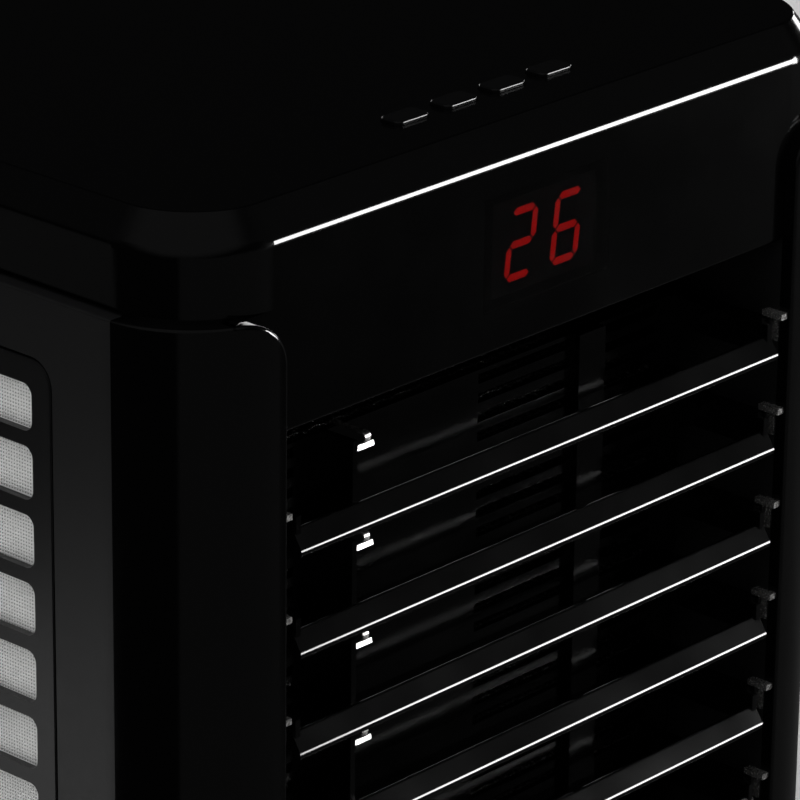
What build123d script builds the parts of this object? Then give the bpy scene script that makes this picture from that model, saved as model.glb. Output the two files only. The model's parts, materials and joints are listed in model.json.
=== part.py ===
"""Six-tray food dehydrator: a box-shaped case with open-fronted pull-out trays.

Millimetres, +Z up, front towards -Y. The origin is under the middle of the case,
on the surface that the rubber feet stand on.
"""
import os
from math import radians, sin

from build123d import *

# Case: overall sizes and the levels of its outside edges
WIDTH = 342.0
DEPTH = 420.0                     # with the mains switch, which stands proud of the back
SWITCH_PROUD = 2.6
FOOT_H = 12.0
BASE_TOP = 22.0
RIM_Z = 350.0                     # where the cap's front face meets its bevel
BEVEL_IN, BEVEL_UP = 8.0, 11.0
LEDGE_Z = RIM_Z - 23.5            # top of the case, which stands proud of the cap
CAP_INSET = 5.0
CORNER_R, REAR_CORNER_R = 41.0, 19.0
WALL = 3.0
FRAME_WALL = CAP_INSET            # the front frame is as thick as it stands proud
SEAM_FRONT, SEAM_REAR = 37.0, 25.0   # case seams, from the front and the back
SHADOW_GAP = 1.8                  # groove under the cap along the sides and back
EDGE_R = 1.2                      # rounding of the glossy edges
RIM_R = 5.0                       # rounding between the cap's skirt and its bevel

FRONT, BACK = -DEPTH / 2, DEPTH / 2 - SWITCH_PROUD
CASE_DEPTH, CASE_MIDDLE = BACK - FRONT, (BACK + FRONT) / 2
TOP_Z = RIM_Z + BEVEL_UP
CAP_FRONT = FRONT + CAP_INSET

# Tray opening
OPEN_HALF = 128.6
SILL_Z = 34.0
APRON_DROP = 65.8                 # the apron's lower edge, below the rim
APRON_Z = RIM_Z - APRON_DROP
EAR_R = 17.0                      # rounded top corners of the opening

# Trays
TRAYS = 6
PITCH = 36.0
LIP_1_Z = RIM_Z - 106.5           # reference height of the top tray
LIP_HALF = 122.3
LIP_BEAD_R, LIP_EDGE_R = 2.1, 0.9
LIP_DROP = 2.4                    # how far the bead hangs below the lip's reference height
LIP_BACK, LIP_RISE = 4.6, 6.0     # centre of the lip's upper edge, from its front and reference height
BASKET_HALF = 121.8
BASKET_WALL = 2.3
BASKET_FRONT = 44.0               # slotted wall, behind the lip
BASKET_REAR_Y = 114.5
BASKET_TOP, BASKET_BOTTOM = 13.5, -19.0   # from the tray's reference height
FLOOR_T = 2.2
FLANGE_HALF = 127.2
FLANGE_Z, FLANGE_T = 9.0, 2.5
RIB_1_X, RIB_T = -65.0, 2.4
RIB_FRONT = 30.0                  # front of the rib that carries the mesh's lift tab
PILASTER_X, PILASTER_W, PILASTER_PROUD = 68.5, 14.0, 3.4
SLOT_PITCH, SLOT_H, SLOT_ROWS = 7.1, 3.6, 4
SLOT_GROUPS = ((-110.0, -80.0), (12.0, 60.0), (77.0, 107.0))
SLOT_TOP = 10.1                   # centre of the top slot, from the reference height
FLOOR_CELL, FLOOR_BAR = 34.0, 4.0

# Chamber
LINER_T = 2.5
CHAMBER_REAR = 120.0              # front face of the rear baffle
RUNNER_IN, RUNNER_T, RUNNER_START = 4.2, 2.2, 22.0
RUN_GAP = 0.3                     # between a sliding part and what guides it

# Side grilles
GRILLE_FRONT = 63.5               # behind the front of the case
GRILLE_TOP = RIM_Z - 45.1
GRILLE_R = 9.5
GRILLE_GAP = 0.8
SLOT_MARGIN = 9.5
VENT_TOP = RIM_Z - 52.7
VENT_PITCH, VENT_H, VENT_ROWS = 24.0, 18.8, 10
VENT_LEN, VENT_BAR, VENT_COLS = 72.0, 8.0, 3
VENT_R = 4.0
TOP_VENT_CUT = 2.3                # the top row is this much lower than the others

# Display and buttons
DISPLAY_X = 1.2
DIGIT_H, DIGIT_W, DIGIT_STEP = 25.2, 14.2, 23.0
DIGIT_TOP = RIM_Z - 18.7
DIGIT_SLANT = 7.0
SEGMENT = 2.5
LENS_W, LENS_H = 64.0, 40.0
BUTTON_X = (-36.0, -12.0, 12.0, 36.0)
BUTTON_Y = FRONT + 36.0
BUTTON_W, BUTTON_D = 16.0, 9.0
BUTTON_PROUD = 1.6

# Fan and heater
FAN_Z = (SILL_Z + APRON_Z) / 2
FAN_R = 78.0
SHROUD_Y = 150.0
IMPELLER_Y = 163.0
MOTOR_Y = 180.0
COIL_RINGS, COIL_R = (30.0, 44.0, 58.0), 2.0


def block(x0, x1, y0, y1, z0, z1):
    """A box from its corner coordinates."""
    middle = ((x0 + x1) / 2, (y0 + y1) / 2, (z0 + z1) / 2)
    return Pos(*middle) * Box(x1 - x0, y1 - y0, z1 - z0)


def rod_x(radius, x0, x1, y, z):
    """A cylinder along X."""
    return Pos((x0 + x1) / 2, y, z) * Rot(0, 90, 0) * Cylinder(radius, x1 - x0)


def rod_y(radius, y0, y1, x, z):
    """A cylinder along Y."""
    return Pos(x, (y0 + y1) / 2, z) * Rot(90, 0, 0) * Cylinder(radius, y1 - y0)


def rod_z(radius, z0, z1, x, y):
    """A cylinder along Z."""
    return Pos(x, y, (z0 + z1) / 2) * Cylinder(radius, z1 - z0)


def case_outline(inset, z):
    """The case seen from above, moved in by inset, as a flat face at height z."""
    face = Rectangle(WIDTH - 2 * inset, CASE_DEPTH - 2 * inset)
    face = fillet(face.vertices().group_by(Axis.Y)[0], CORNER_R - inset)
    face = fillet(face.vertices().group_by(Axis.Y)[-1], REAR_CORNER_R - inset)
    return Pos(0, CASE_MIDDLE, z) * face


def case_prism(inset, z0, z1):
    """The case outline as a solid between two heights."""
    return extrude(case_outline(inset, z0), z1 - z0)


def case_ring(outer, inner, z0, z1):
    """A wall that follows the case outline."""
    return case_prism(outer, z0, z1) - case_prism(inner, z0 - 1, z1 + 1)


def rounded_plate(x, y0, y1, z0, z1, thickness, radius):
    """A plate in the YZ plane with rounded corners; its outer face is at x."""
    face = fillet(Rectangle(y1 - y0, z1 - z0).vertices(), radius)
    middle = Plane(origin=(x, (y0 + y1) / 2, (z0 + z1) / 2), x_dir=(0, 1, 0), z_dir=(1, 0, 0))
    return extrude(middle * face, thickness)


def cap_solid(inset):
    """The cap's outer form, or the hollow inside it when inset by its wall."""
    low, high = RIM_Z, TOP_Z - (inset - CAP_INSET)
    straight = case_prism(inset, LEDGE_Z, low)
    bevel = loft([case_outline(inset, low), case_outline(inset + BEVEL_IN, high)])
    return straight + bevel


def window_box(half_w, half_h, y0, y1):
    """The display window, as a block between two depths."""
    z = DIGIT_TOP - DIGIT_H / 2
    return block(DISPLAY_X - half_w, DISPLAY_X + half_w, y0, y1, z - half_h, z + half_h)


def top_cover():
    """Cap with its bevel and skirt, and the display apron that hangs from it."""
    outer = cap_solid(CAP_INSET)
    rim = [e for e in outer.edges() if abs(e.center().Z - RIM_Z) < 0.01]
    outer = fillet(rim, RIM_R)
    crown = [e for e in outer.edges() if abs(e.center().Z - TOP_Z) < 0.01]
    outer = fillet(crown, EDGE_R)
    cover = outer - cap_solid(CAP_INSET + WALL)
    cover -= case_prism(0, LEDGE_Z - 1, LEDGE_Z + SHADOW_GAP) & block(
        -WIDTH, WIDTH, FRONT + SEAM_FRONT, BACK, LEDGE_Z - 1, LEDGE_Z + SHADOW_GAP)
    ear_x = OPEN_HALF + EAR_R + 2
    apron = block(-OPEN_HALF + 0.2, OPEN_HALF - 0.2, CAP_FRONT, CAP_FRONT + WALL, APRON_Z, RIM_Z - 2)
    apron += block(-ear_x + 20, ear_x - 20, CAP_FRONT, CAP_FRONT + 14, APRON_Z, APRON_Z + WALL)
    foot = [e for e in apron.edges().filter_by(Axis.X)
            if abs(e.center().Z - APRON_Z) < 0.01 and abs(e.center().Y - CAP_FRONT) < 0.01]
    apron = fillet(foot, EDGE_R)
    ears = block(-ear_x, ear_x, CAP_FRONT, CAP_FRONT + WALL, LEDGE_Z - EAR_R - 2, LEDGE_Z + 1)
    cover = cover + apron + ears
    cover -= window_box(LENS_W / 2, LENS_H / 2, CAP_FRONT - 1, CAP_FRONT + WALL + 1)
    for x in BUTTON_X:
        cover -= button_outline(x, 0.4, TOP_Z - WALL - 1, TOP_Z + 1)
    for x, y in cap_boss_places():
        cover += rod_z(5, LEDGE_Z + 1, TOP_Z - WALL, x, y) - rod_z(1.6, LEDGE_Z, LEDGE_Z + 15, x, y)
    return cover


def cap_boss_places():
    """Screw bosses under the cap."""
    return [(sx * 140, y) for sx in (-1, 1) for y in (FRONT + 70, BACK - 45)]


def button_outline(x, gap, z0, z1):
    """A button's rounded outline, or its hole when gap is positive."""
    face = RectangleRounded(BUTTON_W + 2 * gap, BUTTON_D + 2 * gap, 2.5 + gap)
    return extrude(Pos(x, BUTTON_Y, z0) * face, z1 - z0)


def front_part(shape, y_cut):
    """The part of a shape in front of a seam."""
    return shape & block(-WIDTH, WIDTH, FRONT - 1, y_cut, -1, TOP_Z + 1)


def ledge_flange(inner):
    """The flat top of the case that carries the cap."""
    return case_ring(0, inner, LEDGE_Z - 2.5, LEDGE_Z)


def front_frame():
    """Two round corner columns and a sill around the tray opening."""
    shell = case_ring(0, FRAME_WALL, BASE_TOP, LEDGE_Z) + ledge_flange(CAP_INSET + 4)
    frame = front_part(shell, FRONT + SEAM_FRONT)
    opening = block(-OPEN_HALF, OPEN_HALF, FRONT - 1, FRONT + SEAM_FRONT + 1, SILL_Z, LEDGE_Z + 1)
    ear = block(-OPEN_HALF - EAR_R, -OPEN_HALF + 1, FRONT - 1, CAP_FRONT, LEDGE_Z - EAR_R, LEDGE_Z + 1)
    ear -= rod_y(EAR_R, FRONT - 2, CAP_FRONT + 1, -OPEN_HALF - EAR_R, LEDGE_Z - EAR_R)
    frame -= opening + ear + mirror(ear, Plane.YZ)
    behind = block(-OPEN_HALF - EAR_R - 3, OPEN_HALF + EAR_R + 3, CAP_FRONT, FRONT + 20,
                   LEDGE_Z - EAR_R - 3, LEDGE_Z + 1)
    frame -= behind
    rounded = [e for e in frame.edges() if on_front_edge(e)]
    frame = fillet(rounded, EDGE_R)
    for side in (-1, 1):
        for z in (70, 190, 300):
            frame += frame_tab(side, z)
    return frame


def on_front_edge(edge):
    """True for the outer edges of the frame that a hand would feel at the front."""
    c = edge.center()
    on_face = all(abs(v.Y - FRONT) < 0.01 for v in edge.vertices()) and abs(c.X) < OPEN_HALF + EAR_R
    facing = on_face and c.Z > BASE_TOP + 1
    arc = abs(c.Z - LEDGE_Z) < 0.01 and all(abs(v.Z - LEDGE_Z) < 0.01 for v in edge.vertices())
    outer_arc = arc and edge.geom_type == GeomType.CIRCLE and abs(edge.radius - CORNER_R) < 0.01
    return facing or outer_arc


def frame_tab(side, z):
    """A screw tab inside the column, for the liner."""
    x0, x1 = sorted((side * (OPEN_HALF + LINER_T), side * (OPEN_HALF + LINER_T + 4)))
    return block(x0, x1, CAP_FRONT, CAP_FRONT + 12, z - 6, z + 6)


def side_panel(side):
    """Flat side of the case, with the grille opening and a ledge for the cap."""
    shell = case_ring(0, WALL, BASE_TOP, LEDGE_Z) + ledge_flange(CAP_INSET + 4)
    half = block(min(0, side * WIDTH), max(0, side * WIDTH), FRONT + SEAM_FRONT, BACK - SEAM_REAR,
                 -1, TOP_Z)
    panel = shell & half
    top = [e for e in panel.edges().filter_by(Axis.Y)
           if abs(e.center().Z - LEDGE_Z) < 0.01 and abs(abs(e.center().X) - WIDTH / 2) < 0.3]
    panel = fillet(top, EDGE_R * 0.7)
    x = side * WIDTH / 2
    y0, y1, z0, z1 = grille_bounds()
    hole = rounded_plate(x - side * 10, y0, y1, z0, z1, side * 20, GRILLE_R)
    return panel - hole


def grille_bounds():
    """The grille opening in the side of the case: y0, y1, z0, z1."""
    length = VENT_COLS * VENT_LEN + (VENT_COLS - 1) * VENT_BAR + 2 * SLOT_MARGIN
    y0 = FRONT + GRILLE_FRONT
    z0 = VENT_TOP - (VENT_ROWS - 1) * VENT_PITCH - VENT_H - SLOT_MARGIN
    return y0, y0 + length, z0, GRILLE_TOP


def side_grille(side):
    """Louvred cover that pulls off the side of the case."""
    y0, y1, z0, z1 = grille_bounds()
    gap = GRILLE_GAP
    x = side * WIDTH / 2
    grille = rounded_plate(x, y0 + gap, y1 - gap, z0 + gap, z1 - gap, -side * 2.6, GRILLE_R - gap)
    rim = [e for e in grille.faces().sort_by(Axis.X)[-1 if side > 0 else 0].edges()]
    grille = fillet(rim, 0.7)
    slots = []
    for row in range(VENT_ROWS):
        top = VENT_TOP - row * VENT_PITCH
        low = top - VENT_H
        if row == 0:
            top -= TOP_VENT_CUT
        for col in range(VENT_COLS):
            a = y0 + SLOT_MARGIN + col * (VENT_LEN + VENT_BAR)
            slots.append(rounded_plate(x + side, a, a + VENT_LEN, low, top, -side * 6, VENT_R))
    return grille - slots


def air_filter(side):
    """Mesh screen in a thin frame, clipped to the back of the grille."""
    y0, y1, z0, z1 = (v + m for v, m in zip(grille_bounds(), (3, -3, 3, -3)))
    x = side * (WIDTH / 2 - 2.6)
    frame = rounded_plate(x, y0, y1, z0, z1, -side * 3.0, GRILLE_R - 3)
    frame -= rounded_plate(x + side, y0 + 4, y1 - 4, z0 + 4, z1 - 4, -side * 5, GRILLE_R - 6)
    screen = rounded_plate(x - side * 0.6, y0 + 3, y1 - 3, z0 + 3, z1 - 3, -side * 0.8, GRILLE_R - 6)
    return frame + screen


def rear_panel():
    """Back of the case with its two rear corners, fan vents and mains openings."""
    shell = case_ring(0, WALL, BASE_TOP, LEDGE_Z) + ledge_flange(CAP_INSET + 4)
    panel = shell & block(-WIDTH, WIDTH, BACK - SEAM_REAR, BACK + 1, -1, TOP_Z)
    vents = [block(-34, 34, BACK - 5, BACK + 1, FAN_Z + k * 9 - 2, FAN_Z + k * 9 + 2)
             for k in range(-3, 4)]
    panel -= vents
    panel -= inlet_hole() + switch_hole()
    for x, z in motor_mounts():
        panel -= rod_y(1.6, BACK - 5, BACK + 1, x, z)
    return panel


def motor_mounts():
    """Screw places of the motor bracket on the back."""
    return [(sx * 52, FAN_Z + sz * 20) for sx in (-1, 1) for sz in (-1, 1)]


def inlet_hole():
    """Opening for the mains inlet."""
    return block(96.5, 124.5, BACK - 6, BACK + 1, 56, 76)


def switch_hole():
    """Opening for the rocker switch."""
    return block(64.6, 84.4, BACK - 6, BACK + 1, 59, 73)


def base_pan():
    """Floor of the case: a plate under the panels, a set-back plinth and screw posts."""
    plate = case_prism(0, BASE_TOP - 3, BASE_TOP)
    rim = [e for e in plate.edges() if abs(e.center().Z - (BASE_TOP - 3)) < 0.01]
    pan = fillet(rim, 1.0) + case_ring(6, 9, FOOT_H, BASE_TOP - 3)
    for x, y in foot_places():
        pan += rod_z(20, FOOT_H, BASE_TOP - 2, x, y)
        pan -= rod_z(2.0, FOOT_H - 1, BASE_TOP - 4, x, y)
    for k in range(-4, 5):
        pan -= block(k * 14 - 2.5, k * 14 + 2.5, 150, 190, FOOT_H, BASE_TOP + 1)
    return pan


def foot_places():
    """Centres of the four feet."""
    return [(sx * 128, sy * 168) for sx in (-1, 1) for sy in (-1, 1)]


def foot(x, y):
    """Round rubber foot with a rounded sole and a recess for its screw."""
    body = Pos(x, y, 0) * Cone(15, 17, FOOT_H, align=(Align.CENTER, Align.CENTER, Align.MIN))
    sole = body.faces().sort_by(Axis.Z)[0]
    body = fillet(sole.edges(), 1.5)
    return body - rod_z(4.5, -1, 5, x, y) - rod_z(2.2, 4, FOOT_H + 1, x, y)


def foot_screw(x, y):
    """Screw that holds a foot to the base."""
    return rod_z(4.0, 2.6, 5.0, x, y) + rod_z(2.0, 4.9, BASE_TOP - 4.2, x, y)


def liner(side):
    """Side wall of the drying chamber, with a runner for every tray."""
    x = side * OPEN_HALF
    x0, x1 = sorted((x, x + side * LINER_T))
    wall = block(x0, x1, CAP_FRONT + 0.1, CHAMBER_REAR + LINER_T, SILL_Z, APRON_Z + 0.3)
    for k in range(TRAYS):
        top = lip_z(k) + FLANGE_Z - RUN_GAP
        r0, r1 = sorted((x, x - side * RUNNER_IN))
        wall += block(r0, r1, FRONT + RUNNER_START, CHAMBER_REAR, top - RUNNER_T, top)
    return wall


def lip_z(k):
    """Reference height of a tray, just above the foot of its lip; tray 0 is the top one."""
    return LIP_1_Z - k * PITCH


def tray_stop(side, k):
    """Steel hold-down clip on the chamber wall, over a tray's flange."""
    z = lip_z(k)
    x = side * OPEN_HALF
    w0, w1 = sorted((x, x - side * 0.7))
    t0, t1 = sorted((x, x - side * 3.4))
    strip = block(w0, w1, CAP_FRONT + 0.2, FRONT + 19, z + 2.6, z + 6.2)
    strip += block(w0, w1, CAP_FRONT + 0.2, CAP_FRONT + 5.2, z + 2.6, z + 14.2)
    tab = block(t0, t1, CAP_FRONT - 3.6, CAP_FRONT + 5.2, z + 12.0, z + 14.2)
    rivet = rod_x(1.7, *sorted((x - side * 0.4, x - side * 1.5)), FRONT + 16.4, z + 4.4)
    return strip + tab + rivet


def chamber_ceiling():
    """Plate over the trays, under the electronics."""
    x = OPEN_HALF + LINER_T
    plate = block(-x, x, CAP_FRONT + 14.2, CHAMBER_REAR + LINER_T, APRON_Z + 0.3, APRON_Z + 2.3)
    for k in range(4):
        plate += block(-x, x, -150 + k * 75, -147 + k * 75, APRON_Z + 2, APRON_Z + 6)
    return plate


def chamber_floor():
    """Floor of the drying chamber."""
    x = OPEN_HALF + LINER_T
    plate = block(-x, x, CAP_FRONT + 0.1, CHAMBER_REAR + LINER_T, SILL_Z - 2, SILL_Z)
    for sx in (-1, 1):
        for y in (FRONT + 40, CHAMBER_REAR - 20):
            plate += rod_z(5, BASE_TOP, SILL_Z - 1, sx * 100, y)
    return plate


def rear_baffle():
    """Slotted wall that spreads the warm air over all the trays."""
    x = OPEN_HALF - 0.2
    wall = block(-x, x, CHAMBER_REAR + 0.2, CHAMBER_REAR + LINER_T, SILL_Z, APRON_Z + 0.3)
    slots = []
    for k in range(TRAYS):
        for col in (-1.5, -0.5, 0.5, 1.5):
            for row in (2.0, 10.0):
                z = lip_z(k) - 18 + row + 4
                slots.append(block(col * 58 - 24, col * 58 + 24, CHAMBER_REAR - 1, CHAMBER_REAR + 4,
                                   z, z + 4))
    return wall - slots


def tray():
    """A tray, drawn around its reference height."""
    y_front = FRONT + BASKET_FRONT
    x_in = BASKET_HALF - BASKET_WALL
    basket = block(-BASKET_HALF, BASKET_HALF, y_front, BASKET_REAR_Y, BASKET_BOTTOM, BASKET_TOP)
    basket -= block(-x_in, x_in, y_front + BASKET_WALL, BASKET_REAR_Y - BASKET_WALL,
                    BASKET_BOTTOM + FLOOR_T, BASKET_TOP + 1)
    basket += block(-BASKET_HALF, BASKET_HALF, FRONT + RIB_FRONT, y_front + 1,
                    BASKET_BOTTOM, BASKET_BOTTOM + FLOOR_T)
    for side in (-1, 1):
        x0, x1 = sorted((side * x_in, side * BASKET_HALF))
        basket += block(x0, x1, FRONT + 3, y_front + 1, 0.4, FLANGE_Z + FLANGE_T)
        f0, f1 = sorted((side * (BASKET_HALF - 1), side * FLANGE_HALF))
        basket += block(f0, f1, FRONT + 7, BASKET_REAR_Y, FLANGE_Z, FLANGE_Z + FLANGE_T)
    for x, width, y in ((RIB_1_X, RIB_T, FRONT + RIB_FRONT),
                        (PILASTER_X, PILASTER_W, y_front - PILASTER_PROUD)):
        basket += block(x - width / 2, x + width / 2, y, y_front + 1, BASKET_BOTTOM, BASKET_TOP)
    basket -= wall_slots(y_front, BASKET_WALL)
    basket -= wall_slots(BASKET_REAR_Y - BASKET_WALL, BASKET_WALL)
    basket -= floor_cells()
    return basket + tray_lip()


def tray_lip():
    """The leaning pull lip: a round bead below and a thin edge above."""
    bead = Pos(LIP_BEAD_R, LIP_BEAD_R - LIP_DROP) * Circle(LIP_BEAD_R)
    edge = Pos(LIP_BACK, LIP_RISE) * Circle(LIP_EDGE_R)
    section = make_hull(bead.edges() + edge.edges())
    plane = Plane(origin=(-LIP_HALF, FRONT, 0), x_dir=(0, 1, 0), z_dir=(1, 0, 0))
    return extrude(plane * section, 2 * LIP_HALF)


def wall_slots(y, thickness):
    """Air slots in a tray wall, in groups with plain wall between them."""
    slots = []
    for left, right in SLOT_GROUPS:
        for row in range(SLOT_ROWS):
            z = SLOT_TOP - row * SLOT_PITCH
            slots.append(block(left, right, y - 1, y + thickness + 1, z - SLOT_H / 2, z + SLOT_H / 2))
    return slots


def floor_cells():
    """Windows in the tray floor, under the mesh."""
    x_in = BASKET_HALF - BASKET_WALL - 5
    y0, y1 = FRONT + BASKET_FRONT + BASKET_WALL + 5, BASKET_REAR_Y - BASKET_WALL - 5
    columns, rows = round(2 * x_in / FLOOR_CELL), round((y1 - y0) / FLOOR_CELL)
    dx, dy = 2 * x_in / columns, (y1 - y0) / rows
    cells = []
    for i in range(columns):
        for j in range(rows):
            cells.append(block(-x_in + i * dx + FLOOR_BAR / 2, -x_in + (i + 1) * dx - FLOOR_BAR / 2,
                               y0 + j * dy + FLOOR_BAR / 2, y0 + (j + 1) * dy - FLOOR_BAR / 2,
                               BASKET_BOTTOM - 1, BASKET_BOTTOM + FLOOR_T + 1))
    return cells


def tray_mesh():
    """Steel mesh insert with its lift tab, drawn around the tray's reference height."""
    x_out = BASKET_HALF - BASKET_WALL - 0.4
    y0 = FRONT + BASKET_FRONT + BASKET_WALL + 0.4
    y1 = BASKET_REAR_Y - BASKET_WALL - 0.4
    low = BASKET_BOTTOM + FLOOR_T
    mesh = block(-x_out, x_out, y0, y1, low, low + 1.2)
    mesh -= block(-x_out + 5, x_out - 5, y0 + 5, y1 - 5, low - 1, low + 2)
    pitch = 11.0
    count = int((y1 - y0 - 10) / pitch)
    for k in range(1, count + 1):
        y = y0 + 5 + k * (y1 - y0 - 10) / (count + 1)
        mesh += block(-x_out + 4, x_out - 4, y - 0.8, y + 0.8, low, low + 1.2)
    x = RIB_1_X + RIB_T / 2 + 0.3
    mesh += block(x + 4, x + 7, y0, y0 + 0.8, low, BASKET_TOP + 1.0)
    mesh += block(x + 4, x + 7, FRONT + RIB_FRONT + 0.4, y0 + 0.8, BASKET_TOP + 0.2, BASKET_TOP + 1.0)
    y = FRONT + RIB_FRONT + 0.4
    mesh += block(x + 4, x + 7, y, y + 0.8, BASKET_TOP - 4.3, BASKET_TOP + 1.0)
    mesh += block(x, x + 8.3, y, y + 0.8, BASKET_TOP - 4.3, BASKET_TOP - 2.3)
    return mesh


def drip_tray():
    """Shallow pan under the trays."""
    half, z0 = OPEN_HALF - 1.0, SILL_Z + RUN_GAP
    y0, y1 = FRONT + 1.0, CHAMBER_REAR - 4
    pan = block(-half, half, y0, y1, z0, z0 + 7) - block(
        -half + 2, half - 2, y0 + 2, y1 - 2, z0 + 1.4, z0 + 8)
    grip = block(-40, 40, y0 - 1.0, y0 + 2, z0 + 4.4, z0 + 7)
    return pan + grip


def fan_shroud():
    """Plate with a round inlet ring that carries the fan and the heater."""
    half = FAN_R + 14
    plate = block(-half, half, SHROUD_Y, SHROUD_Y + 2.5, FAN_Z - half, FAN_Z + half)
    plate += rod_y(FAN_R + 7, SHROUD_Y, SHROUD_Y + 30, 0, FAN_Z)
    plate -= rod_y(FAN_R + 4, SHROUD_Y - 1, SHROUD_Y + 31, 0, FAN_Z)
    for sx in (-1, 1):
        for sz in (-1, 1):
            plate += rod_y(5, CHAMBER_REAR + LINER_T, SHROUD_Y + 1, sx * (half - 7),
                           FAN_Z + sz * (half - 7))
    return plate


def fan_impeller():
    """Axial impeller: a hub and seven pitched blades."""
    hub = rod_y(20, IMPELLER_Y - 10, IMPELLER_Y + 8, 0, FAN_Z)
    hub -= rod_y(3.0, IMPELLER_Y - 20, IMPELLER_Y + 20, 0, FAN_Z)
    blade = Pos(0, IMPELLER_Y - 1, FAN_Z + 19 + (FAN_R - 19) / 2) * Rot(0, 0, 34) * Box(
        34, 1.8, FAN_R - 19)
    spin = Axis((0, IMPELLER_Y, FAN_Z), (0, 1, 0))
    for k in range(7):
        hub += blade.rotate(spin, k * 360 / 7)
    return hub & rod_y(FAN_R, IMPELLER_Y - 14, IMPELLER_Y + 12, 0, FAN_Z)


def motor_shaft():
    """Steel shaft from the motor through the impeller."""
    return rod_y(3.0, IMPELLER_Y - 12, MOTOR_Y + 4, 0, FAN_Z)


def fan_motor():
    """Shaded-pole motor: a round can with two end bosses."""
    body = rod_y(27, MOTOR_Y, MOTOR_Y + 18, 0, FAN_Z)
    body = fillet(body.edges(), 2)
    body += rod_y(9, MOTOR_Y - 5, MOTOR_Y + 1, 0, FAN_Z)
    return body - rod_y(3.02, MOTOR_Y - 6, MOTOR_Y + 4.2, 0, FAN_Z)


def motor_bracket():
    """Sheet-steel strap that holds the motor to the back."""
    y0, y1 = MOTOR_Y + 18, BACK - WALL
    strap = block(-60, 60, y1 - 2, y1, FAN_Z - 28, FAN_Z + 28)
    strap += block(-24, 24, y0, y1 - 1, FAN_Z - 12, FAN_Z + 12)
    for x, z in motor_mounts():
        strap -= rod_y(1.6, y1 - 3, y1 + 1, x, z)
    return strap


def motor_screws():
    """Four screws through the back into the motor bracket."""
    screws = []
    for x, z in motor_mounts():
        head = rod_y(3.4, BACK, BACK + 1.6, x, z)
        screws.append(head + rod_y(1.55, BACK - WALL - 2.5, BACK + 0.5, x, z))
    return screws


def heater_frame():
    """Two crossed mica boards that carry the heating coil."""
    y0, y1 = CHAMBER_REAR + LINER_T + 1, SHROUD_Y - 3
    r = FAN_R - 4
    cross = block(-r, r, y0, y1, FAN_Z - 0.8, FAN_Z + 0.8) + block(-0.8, 0.8, y0, y1, FAN_Z - r, FAN_Z + r)
    cross += block(-r - 12, -r + 3, y1, SHROUD_Y, FAN_Z - 6, FAN_Z + 6)
    cross += block(r - 3, r + 12, y1, SHROUD_Y, FAN_Z - 6, FAN_Z + 6)
    return cross - heater_rings(COIL_R + 0.3)


def heater_middle():
    """Depth of the heating coil, midway between the baffle and the fan."""
    return (CHAMBER_REAR + LINER_T + SHROUD_Y) / 2


def heater_rings(half):
    """Square-section rings round the coil's turns, or the notches that they sit in."""
    y = heater_middle()
    rings = []
    for r in COIL_RINGS:
        disc = rod_y(r + half, y - half, y + half, 0, FAN_Z)
        rings.append(disc - rod_y(r - half, y - half - 1, y + half + 1, 0, FAN_Z))
    return rings


def heater_coil():
    """Heating coil as three rings joined by a bus bar."""
    y = heater_middle()
    coil = block(COIL_RINGS[0], COIL_RINGS[-1], y - 1.2, y + 1.2, -1.2, 1.2)
    coil = Pos(0, 0, FAN_Z) * coil.rotate(Axis((0, y, 0), (0, 1, 0)), -45)
    for ring in heater_rings(COIL_R):
        coil += ring
    return coil


def thermostat():
    """Snap-disc thermostat on the fan shroud."""
    z = FAN_Z + FAN_R + 8
    y = SHROUD_Y
    body = rod_y(7, y - 8, y, -FAN_R + 6, z)
    for dx in (-4, 4):
        body += block(-FAN_R + 6 + dx - 1.5, -FAN_R + 6 + dx + 1.5, y - 16, y - 7, z - 0.4, z + 0.4)
    return body


def control_board():
    """Upright circuit board behind the display."""
    y = CAP_FRONT + 15
    board = block(-62, 62, y, y + 1.6, RIM_Z - 52, RIM_Z - 6)
    board += block(-50, -38, y + 1.6, y + 6, RIM_Z - 40, RIM_Z - 28)
    board += block(20, 34, y + 1.6, y + 4, RIM_Z - 34, RIM_Z - 20)
    return board


def display_housing():
    """Black cup that keeps the digits' light apart."""
    y0, y1 = CAP_FRONT + WALL + 0.2, CAP_FRONT + 15
    z = DIGIT_TOP - DIGIT_H / 2
    half_w, half_h = 26.0, DIGIT_H / 2 + 4
    body = block(DISPLAY_X - half_w, DISPLAY_X + half_w, y0, y1, z - half_h, z + half_h)
    return body - digit_segments(0.15, y0 - 1, y0 + 1.2)


SEGMENTS = {"2": "abged", "6": "acdefg"}


def digit_segments(grow, y0, y1):
    """The lit segments of both digits as slanted bars between two depths."""
    bars = []
    for digit, step in (("2", -0.5), ("6", 0.5)):
        for name in SEGMENTS[digit]:
            bars.append(segment(name, DISPLAY_X + step * DIGIT_STEP, grow, y0, y1))
    return bars


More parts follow.
